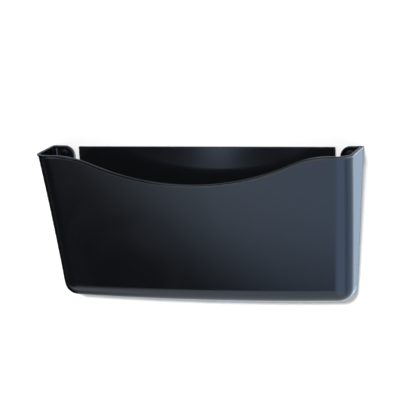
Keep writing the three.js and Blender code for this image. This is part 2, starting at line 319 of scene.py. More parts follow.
def tray_point(share, drop, inset, inner):
    """A point of the tray. Across: (half - corner) share + (corner - inset) cos turn. Forwards:
    start + (depth - corner - start) along + (corner - inset) sin turn. Inside, the rear corner
    takes its radius times (1 - sin) off the width and its radius times cos off the depth."""
    half, depth = walls_at(drop)
    radius = corner_radius - inset
    start = rear_start_in if inner else rear_start_out
    along = column["along_in"] if inner else column["along_out"]
    x = (half - corner_radius) * np.abs(share) + radius * np.cos(column["turn"])
    y = start + (depth - corner_radius - start) * along + radius * np.sin(column["turn"])
    if inner:
        x = x - rear_corner_radius * (1 - np.sin(column["fillet"]))
        y = y - rear_corner_radius * np.cos(column["fillet"])
    x = x * np.where(share < 0, -1.0, 1.0)
    return np.stack([x, -y, height_at(x, drop)], axis=-1)


# %% [markdown]
# ## The bead along the rim
# A rim as thin as the wall would be sharp to the hand and would warp, so the mould thickens it to
# a bead. Its section is written once, as offsets from the rim's line, and carried along the U.
# Where the rim slopes the section tilts with it, so the bead keeps its thickness.

# %% Rim line
settling_rounds = 4  # the rim's place across depends on its drop, and its drop on that place
reach_share = column["share"].copy()
rim_x = reach_share * (half_width - corner_radius)
for _ in range(settling_rounds):
    rim_x = reach_share * (walls_at(rim_fall + rim_dip(rim_x))[0] - corner_radius)
on_front = np.abs(reach_share) < 1
forward = (pocket_depth - corner_radius) * column["along_out"] + corner_radius * np.sin(column["turn"])
fall = rim_fall * np.clip((forward - level_rim) / (pocket_depth - level_rim), 0, 1)
dip = np.where(on_front, rim_fall + rim_dip(rim_x), fall)
slope = np.where(on_front, -np.gradient(dip, np.where(on_front, rim_x, np.arange(len(dip)) * 1.0)), 0.0)
tilt = np.arctan(slope)
up_x, up_z = -np.sin(tilt), np.cos(tilt)
outward = np.stack([column["side"] * np.cos(column["turn"]), -np.sin(column["turn"]), 0 * tilt], axis=-1)
inward_turn = np.stack([
    -column["side"] * np.cos(column["turn"]) * np.sin(column["fillet"]),
    np.where(column["fillet"] < np.pi / 2, -np.cos(column["fillet"]), np.sin(column["turn"])),
    0 * tilt,
], axis=-1)


def below_rim(offset, inset, inner):
    """The wall's own surface at an offset below the rim's line, measured square to that line: at
    the rim's point plus the offset times the upward direction that tilts with the rim."""
    base_x = rim_x + up_x * offset
    level = rim_level - dip + up_z * offset
    drop = drop_at(base_x, level)
    half = walls_at(drop)[0]
    share = np.where(on_front, reach_share + up_x * offset / (half - corner_radius), reach_share)
    return tray_point(share, drop, inset, inner), share, drop


def rim_row(across, offset, blend, inner):
    """A row of the rim: wall (1 - blend) + bead blend, where the bead stands at the rim's point
    plus its measure across times the outward direction, plus the offset times the upward one."""
    on_wall, _, _ = below_rim(offset, wall if inner else 0.0, inner)
    base, _, _ = below_rim(0.0, wall if inner else 0.0, inner)
    lift = np.stack([up_x * offset, 0 * up_x, up_z * offset], axis=-1)
    bead = base + (inward_turn if inner else outward) * across + lift
    return on_wall * (1 - blend) + bead * blend


blend_rows = 8
low_offset = -(rim_bead_height + rim_bead_blend)
rim_rows = []
for t in np.linspace(0, 1, blend_rows + 1)[1:]:
    rim_rows.append(rim_row(rim_bead_out, low_offset + 2 * rim_bead_blend * t, t * t, False))
face_low = rim_bead_blend - rim_bead_height
for t in (1 / 3, 2 / 3):
    rim_rows.append(rim_row(rim_bead_out, face_low + (-rim_bead_rounding - face_low) * t, 1, False))
bend = np.linspace(0, np.pi / 2, 7)
for angle in bend:
    across = rim_bead_out - rim_bead_rounding * (1 - math.cos(angle))
    rim_rows.append(rim_row(across, rim_bead_rounding * (math.sin(angle) - 1), 1, False))
outside_rows = len(rim_rows)
for angle in bend[::-1]:
    across = rim_bead_in - rim_bead_rounding * (1 - math.cos(angle))
    rim_rows.append(rim_row(across, rim_bead_rounding * (math.sin(angle) - 1), 1, True))
for t in np.linspace(0, 1, blend_rows + 1)[1:-1]:
    offset = -rim_bead_rounding + (low_offset + rim_bead_rounding) * t
    rim_rows.append(rim_row(rim_bead_in, offset, 1 - smooth_step(t), True))
bead_thickness = wall + rim_bead_in + rim_bead_out
print(len(rim_rows), "rows round the rim, bead", round(bead_thickness / MM, 1), "mm thick")

# %% [markdown]
# ## The tray's skin
# The rows of the table now run from the floor's edge up the outside, over the bead, and down the
# inside to the floor's edge again. The floor is a second table, inside and outside, whose ends
# are the same points, so the tray is one closed skin with a real wall between its two faces.

# %% Walls
wall_rows = 40
fillet_rows = 16
steps_a_row = 16  # fine steps that are added up for each row of the bottom's rounding
foot_steps = steps_a_row * fillet_rows

step_share = (np.arange(foot_steps) + 0.5) / foot_steps
foot_angle = np.pi / 2 * ((1 - foot_ease) * step_share + foot_ease * smooth_step(step_share))
foot_along, foot_across = np.cumsum(np.cos(foot_angle)), np.cumsum(np.sin(foot_angle))
foot_curve = np.stack([foot_along / foot_along[-1], foot_across / foot_across[-1]], axis=-1)
foot_curve = foot_curve[steps_a_row - 1::steps_a_row]


def wall_stack(inset, inner):
    """Rows from under the bead down to the end of the bottom's rounding. They stand closer near
    both ends, at shares (1 - cos) / 2, so that the shading turns only where the form does. On
    the rounding the drop is floor - R (1 - along) and the inset grows by R across, and the two
    come from foot_curve."""
    _, share, top = below_rim(low_offset, inset, inner)
    radius = bottom_radius - inset
    floor = pocket_height - inset
    rows = []
    for t in (1 - np.cos(np.linspace(0, np.pi, wall_rows + 1))) / 2:
        rows.append(tray_point(share, top + (floor - radius - top) * t, inset, inner))
    for along, across in foot_curve:
        rows.append(tray_point(share, floor - radius * (1 - along) + 0 * top, inset + radius * across, inner))
    return rows, share


outside, foot_share = wall_stack(0.0, False)
inside, _ = wall_stack(wall, True)
skin = np.stack(outside[::-1] + rim_rows + inside)
tray = Surface()
tray.add_grid(skin)
print("walls and rim:", skin.shape[0], "rows of", skin.shape[1], "points")

# %% Floor
shares = np.concatenate([[-1.0], foot_share[on_front], [1.0]])


def floor_table(edge_row, drop):
    """Rows from the back to the front: each spans the width between two facing edge points, and
    its points stand at the front's shares of that width."""
    edge = edge_row[:len(along_out)]
    x = np.abs(edge[:, :1]) * shares[None, :]
    y = np.repeat(edge[:, 1:2], len(shares), axis=1)
    return np.stack([x, y, height_at(x, drop)], axis=-1)


floor_out = floor_table(outside[-1], pocket_height)
floor_in = floor_table(inside[-1], pocket_height - wall)
tray.add_grid(floor_out)
tray.add_grid(floor_in)
print("floor:", floor_out.shape[0], "rows of", floor_out.shape[1], "points on each of its two faces")

# %% Rear closure, inside the back's thickness
rear_out = np.concatenate([np.stack(outside)[:, 0], floor_out[0], np.stack(outside)[::-1, -1]])
rear_in = np.concatenate([np.stack(inside)[:, 0], floor_in[0], np.stack(inside)[::-1, -1]])
tray.add_grid(np.stack([rear_out, rear_in]))
for end in (0, -1):
    ring = [outside[0][end]] + [row[end] for row in rim_rows] + [inside[0][end], outside[0][end]]
    middle = np.repeat(np.mean(ring, axis=0)[None, :], len(ring), axis=0)
    tray.add_grid(np.stack([np.array(ring), middle]))
print("rear closure:", len(rear_out), "points from rim to rim")

# %% [markdown]
# ## The back
# The back is a plate with two open slots that free an ear at each side. Its outline is a closed
# line of straight runs and arcs. A rounded edge is carried along that line, and the two faces
# inside it are filled flat. Behind each ear the plate is half a millimetre thinner, so that the
# ear clears the wall and only the panel bears on it.


# %% Outline helpers
same_spot = 1e-7  # metres: outline points closer than this are doubled
least_opening = 0.2  # of 1 + n.m, which keeps a sharp turn from shooting out


def arc(centre, radius, start, stop, steps):
    """Points of an arc, in degrees: centre + radius (cos a, sin a)."""
    angle = np.radians(np.linspace(start, stop, steps + 1))
    return np.stack([centre[0] + radius * np.cos(angle), centre[1] + radius * np.sin(angle)], axis=-1)


def offset_loop(points, distance):
    """Moves a closed outline to its left by a distance: along the sum of the normals of its two
    edges, n + m, divided by 1 + n.m, so that straight runs stay straight."""
    ahead = np.roll(points, -1, axis=0) - points
    ahead /= np.linalg.norm(ahead, axis=1)[:, None]
    normal = np.stack([-ahead[:, 1], ahead[:, 0]], axis=-1)
    before = np.roll(normal, 1, axis=0)
    share = 1 + np.sum(normal * before, axis=1)[:, None]
    return points + distance * (normal + before) / np.maximum(share, least_opening)


def in_plane(points, y):
    """Outline points in X and Z, placed at a depth Y."""
    y = np.broadcast_to(y, len(points))
    return np.stack([points[:, 0], y, points[:, 1]], axis=-1)


def edge_section(thickness, rounding, steps=6):
    """The rounded edge of a plate, as (inset, depth share) pairs from the front face to the rear:
    inset r (1 - sin a) over the first rounding, r (1 - cos a) over the second."""
    angle = np.linspace(0, np.pi / 2, steps + 1)
    front = np.stack([rounding * (1 - np.sin(angle)), rounding * (1 - np.cos(angle))], axis=-1)
    rear = np.stack([rounding * (1 - np.cos(angle)), thickness - rounding * (1 - np.sin(angle))], axis=-1)
    return np.concatenate([front, rear])


# %% Outline of the back
recess_side = walls_at(slot_length)[0] - wall
ear_centre = (-(ear_edge + ear_corner_radius), rim_level - ear_corner_radius)
slot_centre = (-(panel_half_width + slot_width / 2), slot_floor + slot_width / 2)
panel_corner = edge_rounding + kept_radius
panel_top = rim_level - panel_drop

side_line = np.stack(outside)[::-1, 0][:, [0, 2]]
bead_line = np.stack(rim_rows[:outside_rows])[:, 0][:, [0, 2]]
ear_top = np.array([[-recess_side, rim_level], [-recess_side, rim_level]])
ear_arc = arc(ear_centre, ear_corner_radius, 90, 0, 24)
ear_line = np.concatenate([
    ear_arc,
    [[-ear_edge, z] for z in np.linspace(ear_centre[1], slot_centre[1], 6)[1:-1]],
    arc(slot_centre, slot_width / 2, 180, 270, 10),
])
panel_line = np.concatenate([
    arc(slot_centre, slot_width / 2, 270, 360, 10),
    arc((-panel_half_width + panel_corner, panel_top - panel_corner), panel_corner, 180, 90, 6),
])
half_line = np.concatenate([side_line, bead_line, ear_top, ear_line, panel_line])
lead = len(side_line) + len(bead_line)
half_back = np.zeros(len(half_line))
half_back[lead + 1:lead + 2 + len(ear_line)] = -ear_setback

mirrored = half_line[::-1] * [-1, 1]
bottom_line = floor_out[0][::-1][1:-1][:, [0, 2]]
back_line = np.concatenate([half_line, mirrored, bottom_line])
back_depth = np.concatenate([half_back, half_back[::-1], np.zeros(len(bottom_line))])
print(len(back_line), "points round the back's outline")

# %% Keyhole outline
key_waist = math.degrees(math.asin(key_slot_radius / key_entry_radius))
key_shape = np.concatenate([
    arc((0, 0), key_slot_radius, 0, 180, 16),
    arc((0, -lift_travel), key_entry_radius, 90 + key_waist, 450 - key_waist, 40),
])
key_rounding = 0.35 * MM
print("keyhole:", round((lift_travel + key_entry_radius + key_slot_radius) / MM, 2), "mm long")


# %% Back plate
def keep_apart(points):
    """Moves the second of two doubled outline points half the weld distance towards the point two
    places on, so that every edge has a direction, and points on one spot are still merged."""
    step = np.linalg.norm(np.roll(points, -1, axis=0) - points, axis=1)
    second = np.roll(step < same_spot, 1)
    toward = np.roll(points, -2, axis=0) - points
    toward /= np.maximum(np.linalg.norm(toward, axis=1), same_spot)[:, None]
    nudged = points.copy()
    nudged[second] += toward[second] * weld_distance / 2
    return nudged


back_line = offset_loop(keep_apart(back_line), -seam_inset)
rings = []
for inset, depth in edge_section(wall, edge_rounding):
    ring = offset_loop(back_line, -inset)
    share = depth / wall
    rings.append(in_plane(ring, -wall + share * (wall + back_depth)))
tray.add_grid(np.stack(rings), wrap=True)

key_loops = {}
for side in (-1, 1):
    shape = key_shape + [side * screw_side, 0]
    key_rings = []
    for inset, depth in edge_section(wall - ear_setback, key_rounding):
        key_rings.append(in_plane(offset_loop(shape, -inset), -wall + depth))
    tray.add_grid(np.stack(key_rings), wrap=True)
    key_loops[side] = (key_rings[0], key_rings[-1])
tray.add_flat([rings[0], key_loops[-1][0], key_loops[1][0]])
print("back's edge:", len(rings), "rings of", len(back_line), "points, and two keyholes")

# %% Rear faces of the back
rear = rings[-1]
ear_first, ear_last = lead + 1, lead + 1 + len(ear_line)
count = len(half_line)
ledge = rear[ear_last][2]


def recess_corner(side, depth):
    """Where an ear's recess meets the side wall, on the wall's plane or sunk from it."""
    return np.array([side * recess_side, depth, ledge])


ear_left = rear[ear_first:ear_last + 1]
ear_right = rear[2 * count - 1 - ear_last:2 * count - ear_first]
panel_rear = rear[ear_last + 1:2 * count - 1 - ear_last]
rest = np.concatenate([rear[2 * count - ear_first:], rear[:ear_first]])
full = np.concatenate([rest, [recess_corner(-1, 0)], panel_rear, [recess_corner(1, 0)]])
tray.add_flat([full], flip=True)
last_point = 2 * count - 1
for side, ear in ((-1, ear_left), (1, ear_right)):
    corner = recess_corner(side, -ear_setback)
    tray.add_flat([np.concatenate([ear, [corner]]), key_loops[side][1]], flip=True)
    step = 1 if side < 0 else -1
    top, foot = (ear_first, ear_last) if side < 0 else (last_point - ear_first, last_point - ear_last)
    steps = np.array([rear[top - step], recess_corner(side, 0), rear[foot + step]])
    sunk = np.array([rear[top], corner, rear[foot]])
    tray.add_grid(np.stack([steps, sunk]))
print("ears stand", round(ear_setback / MM, 2), "mm off the wall")

# %% [markdown]
# ## The ears' thick edges
# An ear carries the whole load at its keyhole, so its free edge is thickened into a rib. The rib
# is a rounded bar carried along the ear's top, round its corner and down beside the slot, where
# it dies out into the plate.

# %% Ear ribs
rib_start = half_width - wall / 2
rib_top = [[-x, rim_level] for x in np.linspace(rib_start, -ear_centre[0], 8)[:-1]]
rib_side = [[-ear_edge, z] for z in np.linspace(ear_centre[1], slot_floor, 24)[1:]]
rib_path = np.concatenate([rib_top, ear_arc, rib_side])
rib_ahead = np.gradient(rib_path, axis=0)
rib_ahead /= np.linalg.norm(rib_ahead, axis=1)[:, None]
rib_inward = np.stack([rib_ahead[:, 1], -rib_ahead[:, 0]], axis=-1)
rib_runout = 7 * MM
rib_height = ear_bead_out * smooth_step((rib_path[:, 1] - slot_floor) / rib_runout)
rib_height[:len(rib_top) + len(ear_arc)] = ear_bead_out
rib_root = -wall / 2

turn = np.linspace(0, np.pi / 2, 7)
outer_bend = ear_bead_rounding * np.stack([1 - np.cos(turn), np.sin(turn) - 1], axis=-1)
inner_bend = np.stack([ear_bead_width - outer_bend[::-1, 0], outer_bend[::-1, 1]], axis=-1)
rib_face = np.concatenate([outer_bend, inner_bend])


def ear_rib(side):
    """Section points at path + inward times inset, and at the depth -(wall + height + rounding's
    part), which stops at the root, half way into the plate."""
    rows = []
    for inset, depth in rib_face:
        across = rib_path + rib_inward * inset
        y = np.minimum(-(wall + rib_height + depth), rib_root)
        rows.append(np.stack([across[:, 0], y, across[:, 1]], axis=-1))
    ends = []
    for inset in (ear_bead_width, 0.0):
        across = rib_path + rib_inward * inset
        ends.append(np.stack([across[:, 0], np.full(len(across), rib_root), across[:, 1]], axis=-1))
    table = np.stack(rows + ends + rows[:1])
    table[..., 0] *= -side
    return table


for side in (-1, 1):
    table = ear_rib(side)
    tray.add_grid(table)
    for end in (0, -1):
        ring = table[:-1, end]
        middle = np.repeat(ring.mean(axis=0)[None, :], len(ring) + 1, axis=0)
        tray.add_grid(np.stack([np.concatenate([ring, ring[:1]]), middle]))
print("each ear's rib:", len(rib_path), "places along it,", len(rib_face), "points over its face")

# %% The whole moulding
moulding = tray.make("moulded_pocket")
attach(moulding, "pocket")
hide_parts("pocket_shell")

# %% [markdown]
# ## The screws
# Each screw is a turned and rolled part: a low domed head with a pressed cross, and a thread that
# winds round the shank. Both are one table of points in angle and length, whose radius is worked
# out from the two. That gives a true helix, which a stack of rings can't.

# %% Sizes of the screw
seat_gap = 0.3 * MM
thread_radius = 1.75 * MM
core_radius = 1.3 * MM
thread_pitch = 1.3 * MM
thread_free = 2.6 * MM
screw_reach = 19 * MM
point_length = 3 * MM
point_radius = 0.3 * MM
head_radius = 4.5 * MM
head_flange = 0.6 * MM
head_dome = 1.8 * MM
head_rounding = 0.22 * MM
head_middle_share = 0.004  # of the head's radius: the ring round its middle point
recess_half_width = 2.1 * MM
recess_half_floor = 1.1 * MM
recess_half_blade = 0.5 * MM
recess_depth = 1.7 * MM
recess_edge = 0.14 * MM  # width over which a blade's wall falls to its floor
recess_zone = 0.52  # radians of the dome, from its middle, that hold the cross
underside_share = 0.7  # of the head's radius: the ring between its rim and the neck
neck_rounding = 0.25 * MM
neck_middle_share = 0.28  # of that rounding: the place of its middle point
neck_length = 0.4 * MM
head_underside = -wall - seat_gap
thread_end = screw_reach - point_length
thread_fade = 1.1 * point_length
thread_root = 1 / 3  # of the tent's height, below which the core is bare
thread_steepness = 1.68  # of the tent above its root, which cuts the crest blunt
tip_shares = (0.5, 0.01)  # of the point's radius, on its flat end
round_columns = 144

turn_angle = np.linspace(0, 2 * np.pi, round_columns, endpoint=False)
ones = np.ones(round_columns)


# %% Screw surface
def head_rows():
    """Dome from its middle out: y = flange - dome cos b, r = head sin b. The cross sinks to its
    floor where a point's distance across a blade is under half its width and the distance along
    it is under a length that shortens with depth, so that the ends of the blades slope."""
    angle = np.concatenate([
        np.linspace(0, recess_zone, 46)[1:], np.linspace(recess_zone, np.pi / 2, 22)[1:],
    ])
    radius = head_radius * np.concatenate([[head_middle_share], np.sin(angle)])
    drop = np.concatenate([[1.0], np.cos(angle)]) * head_dome
    x = radius[:, None] * np.cos(turn_angle)
    z = radius[:, None] * np.sin(turn_angle)
    sunk = np.zeros_like(x)
    for along, across in ((np.abs(x), np.abs(z)), (np.abs(z), np.abs(x))):
        side = smooth_step((recess_half_blade + recess_edge / 2 - across) / recess_edge)
        end = np.clip((recess_half_width - along) / (recess_half_width - recess_half_floor), 0, 1)
        sunk = np.maximum(sunk, side * end)
    y = head_underside - head_flange - drop[:, None] + recess_depth * sunk
    return radius[:, None] + 0 * x, y


def thread_radius_at(y):
    """Core plus ridge: the ridge is a tent over the pitch with a blunt crest, wound one pitch per
    turn, and it fades in and out at the ends. The point tapers the whole to its tip."""
    turns = (y[:, None] - thread_free) / thread_pitch - turn_angle / (2 * np.pi)
    tent = 1 - 2 * np.abs(turns - np.floor(turns) - 0.5)
    ridge = np.clip((tent - thread_root) * thread_steepness, 0, 1)
    fade = smooth_step((y - thread_free) / thread_pitch) * smooth_step((screw_reach - y) / thread_fade)
    radius = core_radius + (thread_radius - core_radius) * ridge * fade[:, None]
    taper = np.clip((y - thread_end) / point_length, 0, 1)[:, None]
    return radius * (1 - taper) + point_radius * taper


def screw(centre_x):
    """One closed skin: head, rounded flange, underside, plain shank, thread and point. Its points
    stand at (centre + r cos a, y, r sin a) for every angle a of the turn."""
    head_r, head_y = head_rows()
    bend = np.linspace(0, np.pi / 2, 6)
    flange_r = head_radius - head_rounding * (1 - np.cos(bend))
    flange_y = head_underside - head_rounding * (1 - np.sin(bend))
    neck = neck_rounding * np.array([1, neck_middle_share, 0])
    under_r = np.concatenate([[head_radius * underside_share], core_radius + neck])
    under_y = head_underside + np.concatenate([[0], neck[::-1]])
    shank_y = np.linspace(head_underside + neck_length, thread_free, 10)
    thread_y = np.linspace(thread_free, screw_reach, 180)[1:]
    plain_r = np.concatenate([flange_r, under_r, np.full(len(shank_y), core_radius)])
    plain_y = np.concatenate([flange_y, under_y, shank_y])
    tip_r = point_radius * np.array(tip_shares)
    radius = np.concatenate([
        head_r, np.outer(plain_r, ones), thread_radius_at(thread_y), np.outer(tip_r, ones),
    ])
    y = np.concatenate([
        head_y, np.outer(np.concatenate([plain_y, thread_y, [screw_reach, screw_reach]]), ones),
    ])
    table = np.stack([centre_x + radius * np.cos(turn_angle), y, radius * np.sin(turn_angle)], axis=-1)
    surface = Surface()
    surface.add_grid(table, wrap=True)
    surface.add_cap(table[0], table[0].mean(axis=0))
    surface.add_cap(table[-1], table[-1].mean(axis=0))
    return surface


# %% [markdown]
# ## The wall plugs
# A nylon plug is moulded in two halves that meet in front and part behind, where the screw
# spreads them. Each half is a curved strip: its section is an outer arc and an inner arc, and the
# gap between the halves opens over a short length. Barbs ring the outside, and two thin fins stop
# the plug from turning in its hole.

# %% Sizes of the plug
plug_length = 16 * MM
plug_collar_radius = 3.8 * MM
plug_collar = 1 * MM
plug_mouth_radius = 2.9 * MM
plug_end_radius = 2.5 * MM
plug_barbs = 4
plug_barb_depth = 0.25 * MM
plug_barb_step_share = 1 / 8
plug_fin_reach = 0.8 * MM
plug_fin_thickness = 0.7 * MM
plug_fin_length = 5 * MM
plug_split_width = 0.9 * MM
plug_split_length = 9 * MM
plug_seam = 0.004 * MM
plug_collar_rounding = 0.25 * MM
plug_collar_step = 0.001 * MM  # between the collar's last row and the body's first
collar_rows = 11
fin_squareness = 6
plug_bore = thread_radius + seat_gap
plug_front = seat_gap
plug_mouth = seat_gap + plug_collar
plug_back = seat_gap + plug_length
half_columns = 48


# %% Plug surface
def plug_radius(y):
    """Outer radius: the collar with a rounded edge, then a straight taper, less the barbs, which
    step in quickly and rise slowly, as (1 - progress) of a barb's depth."""
    share = (y - plug_mouth) / (plug_back - plug_mouth)
    body = plug_mouth_radius + (plug_end_radius - plug_mouth_radius) * share
    pitch = (plug_back - plug_mouth - plug_fin_length) / plug_barbs
    turns = (y - plug_mouth - plug_fin_length) / pitch
    progress = turns - np.floor(turns)
    step = np.minimum(progress / plug_barb_step_share, (1 - progress) / (1 - plug_barb_step_share))
    barb = np.where(turns > 0, plug_barb_depth * step, 0)
    rounding = plug_collar_rounding
    near_edge = np.minimum(np.clip(y - plug_front, 0, rounding), np.clip(plug_mouth - y, 0, rounding))
    rise = np.sqrt(np.maximum(rounding ** 2 - (rounding - near_edge) ** 2, 0))
    collar = plug_collar_radius - rounding + rise
    return np.where(y <= plug_mouth, collar, body - barb)


def plug_half(surface, centre_x, side):
    """A strip between two arcs, which run from asin(g / r) to pi less that, where g is half the
    gap. The gap's end is round: g = half width sqrt(o (2 - o)), with o from 0 to 1 along it."""
    y = np.unique(np.concatenate([
        np.linspace(plug_front, plug_mouth, collar_rows),
        np.linspace(plug_mouth, plug_mouth + plug_fin_length, 12),
        np.linspace(plug_mouth + plug_fin_length, plug_back, 97),
        plug_back - plug_split_length + np.linspace(0, plug_split_width / 2, 7),
    ]))
    y = np.concatenate([y[:collar_rows], [plug_mouth + plug_collar_step], y[collar_rows:]])
    opened = np.clip((y - (plug_back - plug_split_length)) / (plug_split_width / 2), 0, 1)
    gap = np.maximum(plug_split_width / 2 * np.sqrt(opened * (2 - opened)), plug_seam)
    outer = plug_radius(y)[:, None]
    inner = np.full_like(outer, plug_bore)
    share = np.linspace(0, 1, half_columns)[None, :]
    rows = []
    for radius, way in ((outer, share), (inner, 1 - share)):
        first = np.arcsin(gap[:, None] / radius)
        angle = first + (np.pi - 2 * first) * way
        x = centre_x + radius * np.cos(angle)
        rows.append(np.stack([x, y[:, None] + 0 * x, side * radius * np.sin(angle)], axis=-1))
    table = np.concatenate(rows, axis=1)
    surface.add_grid(table, wrap=True)
    for end in (0, -1):
        surface.add_grid(np.stack([table[end, :half_columns], table[end, half_columns:][::-1]]))


def plug_fin(surface, centre_x, side):
    """A block with blunt ends: its half thickness is t (1 - |s|^n)^(1/n) along its length s, and
    its height follows the same rule, with n for its squareness."""
    n = fin_squareness
    fin_inner = plug_bore + plug_barb_depth
    fin_outer = plug_mouth_radius + plug_fin_reach
    s = np.sin(np.linspace(-1, 1, 27) * np.pi / 2)
    round_off = (1 - np.abs(s) ** n) ** (1 / n)
    corner = np.linspace(0, 2 * np.pi, 41)[:-1]
    squared = (np.abs(np.cos(corner)) ** n + np.abs(np.sin(corner)) ** n) ** (-1 / n)
    across = squared * np.cos(corner)
    along = squared * np.sin(corner)
    middle_x = (fin_outer + fin_inner) / 2
    x = centre_x + side * (middle_x + (fin_outer - fin_inner) / 2 * across * round_off[:, None])
    z = plug_fin_thickness / 2 * along * round_off[:, None]
    y = plug_mouth + plug_fin_length / 2 + plug_fin_length / 2 * s[:, None] - seat_gap + 0 * x
    surface.add_grid(np.stack([x, y, z], axis=-1), wrap=True)


def plug(centre_x):
    """Two halves and two fins."""
    surface = Surface()
    for side in (1, -1):
        plug_half(surface, centre_x, side)
        plug_fin(surface, centre_x, side)
    return surface


# %% Both fixings
fixings = []
for place, side in (("left", -1), ("right", 1)):
    for kind, make_one, slot in (("screw", screw, "blackened_steel"), ("plug", plug, "grey_nylon")):
        fixing = make_one(side * screw_side).make(f"wall_{kind}_{place}", sharp=40, merge=0.0005 * MM)
        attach(fixing, "wall_fixings")
        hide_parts(f"{kind}_{place}")
        fixings.append(fixing)

# %% [markdown]
# ## Finishes
# Colours are written as the hex values that a colour picker shows, and one function turns them
# into the linear values that a renderer adds up. Patterns are set by real sizes: a texture's
# scale is how many times it repeats in a metre.


# %% Node helpers
def linear(hex_colour):
    """Linear value of each channel v: v / 12.92 below 0.04045, else ((v + 0.055) / 1.055)^2.4."""
    channels = [int(hex_colour[i:i + 2], 16) / 255 for i in (1, 3, 5)]
    return [v / 12.92 if v <= 0.04045 else ((v + 0.055) / 1.055) ** 2.4 for v in channels] + [1.0]


def node(tree, kind, inputs=None, **settings):
    """Adds a node, sets its settings, and fills its inputs with values or with links."""
    made = tree.nodes.new(kind)
    for name, value in settings.items():
        setattr(made, name, value)
    for name, value in (inputs or {}).items():
        if isinstance(value, bpy.types.NodeSocket):
            tree.links.new(value, made.inputs[name])
        else:
            made.inputs[name].default_value = value
    return made


def per_metre(millimetres):
    """How often a pattern of a size in millimetres repeats in a metre."""
    return 1 / (millimetres * MM)


def new_material(name):
    """An empty material with its node tree."""
    material = bpy.data.materials.new(name)
    material.use_nodes = True
    material.node_tree.nodes.clear()
    return material, material.node_tree


# %% [markdown]
# ### Black moulding
# The tray is injection-moulded high-impact polystyrene with a satin face. Its gloss isn't even:
# the melt cools in slow swirls, and the polished steel of the mould leaves a faint grain. So the
# colour stays near black while the roughness wanders, slowly over centimetres and finely over a
# millimetre. The real grain is some hundredths of a millimetre, which is too fine to show, so it
# is drawn that much coarser. The core that shapes the back panel's front is polished a little
# less.


# %% Black moulding
def moulded_black_polystyrene():
    material, tree = new_material("moulded_black_polystyrene")
    place = node(tree, "ShaderNodeTexCoord").outputs["Object"]
    flow = node(tree, "ShaderNodeTexNoise", {
        "Vector": place, "Scale": per_metre(70), "Detail": 3.0, "Roughness": 0.5, "Distortion": 1.2,
    })
    grain = node(tree, "ShaderNodeTexNoise", {
        "Vector": place, "Scale": per_metre(0.9), "Detail": 2.0, "Roughness": 0.6,
    })
    colour = node(tree, "ShaderNodeMix", {
        "Factor": flow.outputs["Fac"], "A": linear("#0c0d0f"), "B": linear("#101113"),
    }, data_type="RGBA")
    gloss = node(tree, "ShaderNodeMapRange", {
        "Value": flow.outputs["Fac"], "From Min": 0.3, "From Max": 0.7, "To Min": 0.09, "To Max": 0.12,
    })
    speckle = node(tree, "ShaderNodeMapRange", {
        "Value": grain.outputs["Fac"], "From Min": 0.3, "From Max": 0.7, "To Min": -0.01, "To Max": 0.01,
    })
    depth = node(tree, "ShaderNodeSeparateXYZ", {"Vector": place}).outputs["Y"]
    core_side = node(tree, "ShaderNodeMapRange", {
        "Value": depth, "From Min": -9 * MM, "From Max": -3 * MM, "To Min": 0.0, "To Max": 0.035,
    })
    rough = node(tree, "ShaderNodeMath", {0: gloss.outputs["Result"], 1: speckle.outputs["Result"]},
                 operation="ADD")
    rough = node(tree, "ShaderNodeMath", {0: rough.outputs["Value"], 1: core_side.outputs["Result"]},
                 operation="ADD")
    bump = node(tree, "ShaderNodeBump", {
        "Height": grain.outputs["Fac"], "Strength": 0.05, "Distance": 0.02 * MM,
    })
    shader = node(tree, "ShaderNodeBsdfPrincipled", {
        "Base Color": colour.outputs["Result"], "Roughness": rough.outputs["Value"],
        "Normal": bump.outputs["Normal"], "IOR": 1.55,
    })
    node(tree, "ShaderNodeOutputMaterial", {"Surface": shader.outputs["BSDF"]})
    return material


# %% [markdown]
# ### Blackened steel
# The screws are cold-formed steel with a chemical black skin. It is a metal under a thin dark
# oxide, so it is given a dark metallic colour, which rubs through to brighter steel in specks.


# %% Blackened steel
def black_oxide_steel():
    material, tree = new_material("black_oxide_steel")
    place = node(tree, "ShaderNodeTexCoord").outputs["Object"]
    rub = node(tree, "ShaderNodeTexNoise", {
        "Vector": place, "Scale": per_metre(1.6), "Detail": 6.0, "Roughness": 0.65,
    })
    worn = node(tree, "ShaderNodeMapRange", {
        "Value": rub.outputs["Fac"], "From Min": 0.62, "From Max": 0.78, "To Min": 0.0, "To Max": 1.0,
    })
    colour = node(tree, "ShaderNodeMix", {
        "Factor": worn.outputs["Result"], "A": linear("#2b2c2e"), "B": linear("#6f6e6b"),
    }, data_type="RGBA")
    rough = node(tree, "ShaderNodeMapRange", {
        "Value": rub.outputs["Fac"], "From Min": 0.3, "From Max": 0.7, "To Min": 0.46, "To Max": 0.34,
    })
    bump = node(tree, "ShaderNodeBump", {
        "Height": rub.outputs["Fac"], "Strength": 0.15, "Distance": 0.03 * MM,
    })
    shader = node(tree, "ShaderNodeBsdfPrincipled", {
        "Base Color": colour.outputs["Result"], "Roughness": rough.outputs["Result"],
        "Normal": bump.outputs["Normal"], "Metallic": 0.9,
    })
    node(tree, "ShaderNodeOutputMaterial", {"Surface": shader.outputs["BSDF"]})
    return material


# %% [markdown]
# ### Grey nylon
# The plugs are moulded polyamide. It is slightly waxy and lets a little light in, which softens
# the barbs' edges, and its colour clouds a little where the melt flowed.


